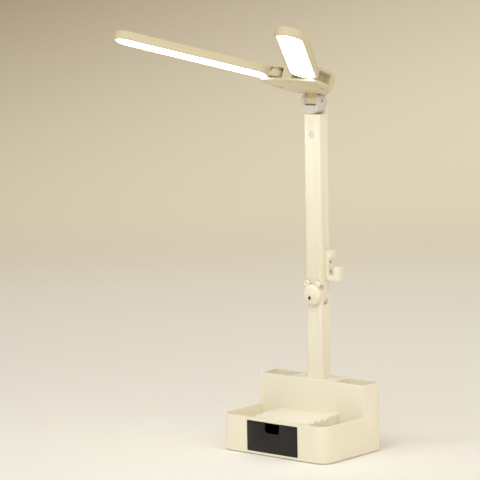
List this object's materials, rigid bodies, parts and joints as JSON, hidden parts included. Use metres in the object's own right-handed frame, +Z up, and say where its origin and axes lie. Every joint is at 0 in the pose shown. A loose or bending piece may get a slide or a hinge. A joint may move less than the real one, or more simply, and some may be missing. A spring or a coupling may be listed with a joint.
{
  "type": "desk lamp with drawer base",
  "caption": "Desk lamp on an organizer base with a drawer, phone rest and pen pockets, a folding column and a swivelling head with swinging light panels.",
  "frame": {"origin": "centre of the base's outline on the desk, under the rubber feet", "axes": "+Z up the column, -Y toward the drawer and the light, +X to the lamp's own right hand side as seen from the front"},
  "size_m": [0.2649, 0.1945, 0.4502],
  "materials": {
    "ivory": "satin moulded ivory plastic",
    "ivory_head": "satin moulded cream plastic",
    "smoke": "smoky translucent plastic",
    "steel": "plain steel",
    "rubber": "dark rubber",
    "dark": "glossy dark plastic",
    "opal": "opal light diffuser",
    "board": "circuit board",
    "nylon": "natural nylon",
    "cell": "wrapped cell",
    "touch": "pale grey touch window"
  },
  "bodies": {
    "base": {"base_shell": "ivory", "phone_rest": "ivory", "bottom_plate": "ivory", "base_feet": "rubber", "base_screws": "steel", "ballast_bars": "steel", "column_socket": "nylon", "socket_screws": "steel", "battery_pack": "cell", "charging_board": "board", "charging_inlet": "steel", "lower_column": "ivory", "elbow_bolt": "steel", "elbow_nut": "steel", "elbow_rear_cap": "ivory", "elbow_face": "ivory", "nose": "dark"},
    "drawer": {"drawer": "smoke"},
    "upper_column": {"elbow_washers": "nylon", "upper_column": "ivory", "column_back_cover": "ivory", "cover_screws": "steel", "touch_pad": "touch", "touch_board": "board", "side_hook": "ivory", "hook_screws": "steel", "swivel_screw": "steel"},
    "knuckle": {"knuckle": "ivory", "tilt_pin": "steel"},
    "head": {"hub_base": "ivory_head", "hub_cover": "ivory_head", "hub_screws": "steel", "hinge_pins": "steel"},
    "left_panel": {"left_panel_frame": "ivory_head", "left_panel_cover": "ivory_head", "left_diffuser": "opal", "left_led_board": "board"},
    "right_panel": {"right_panel_frame": "ivory_head", "right_panel_cover": "ivory_head", "right_diffuser": "opal", "right_led_board": "board"}
  },
  "joints": [
    {"name": "drawer_slide", "type": "slide", "parent": "base", "child": "drawer", "axis": [0, -1, 0], "range_m": [0, 0.045]},
    {"name": "elbow_fold", "type": "hinge", "parent": "base", "child": "upper_column", "pos_m": [0, 0.0325, 0.161], "axis": [0, 1, 0], "range_deg": [-90, 90]},
    {"name": "head_roll", "type": "hinge", "parent": "upper_column", "child": "knuckle", "pos_m": [0, 0.0325, 0.363], "axis": [0, 1, 0], "range_deg": [-15, 15]},
    {"name": "head_tilt", "type": "hinge", "parent": "knuckle", "child": "head", "pos_m": [0, 0.028, 0.3645], "axis": [-1, 0, 0], "range_deg": [-71.2, 8.8]},
    {"name": "left_panel_swing", "type": "hinge", "parent": "head", "child": "left_panel", "pos_m": [-0.019, -0.00871, 0.3885], "axis": [0, 0.3616, 0.9323], "range_deg": [-44.4, 45.6]},
    {"name": "right_panel_swing", "type": "hinge", "parent": "head", "child": "right_panel", "pos_m": [0.019, -0.00871, 0.3885], "axis": [0, 0.3616, 0.9323], "range_deg": [-31.9, 58.1]}
  ]
}
